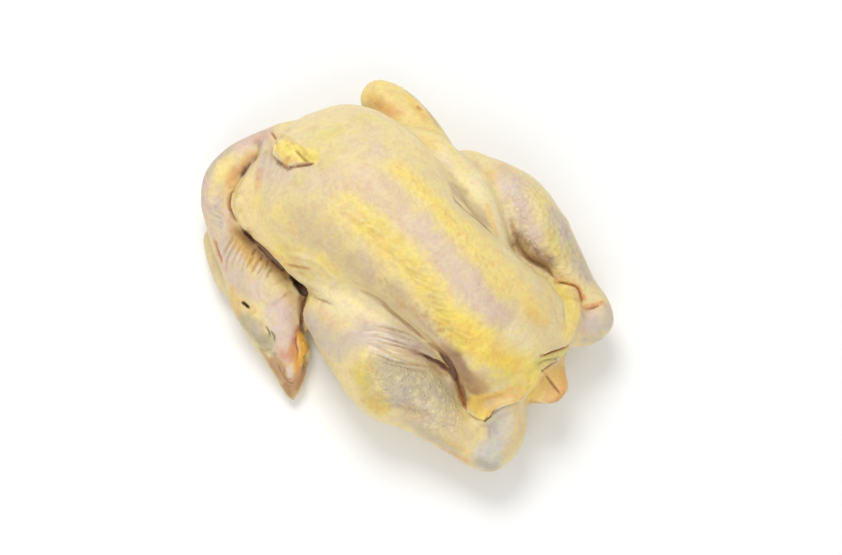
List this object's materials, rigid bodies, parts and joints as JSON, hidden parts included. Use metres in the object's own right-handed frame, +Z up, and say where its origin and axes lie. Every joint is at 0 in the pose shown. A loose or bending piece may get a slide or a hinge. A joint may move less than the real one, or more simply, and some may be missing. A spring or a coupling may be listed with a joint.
{
  "type": "whole raw chicken",
  "caption": "Whole plucked raw chicken with head and neck, lying on its back with folded wings and tucked shanks.",
  "frame": {"origin": "on the flat of the back that the bird rests on, below the middle of the breast", "axes": "+Z up from the table to the keel, +Y from the tail to the front of the breast, +X to the bird's left side"},
  "size_m": [0.187, 0.2436, 0.1006],
  "materials": {
    "skin": "moist, soft sheen"
  },
  "bodies": {
    "root": {"raw_chicken": "skin"}
  },
  "joints": []
}
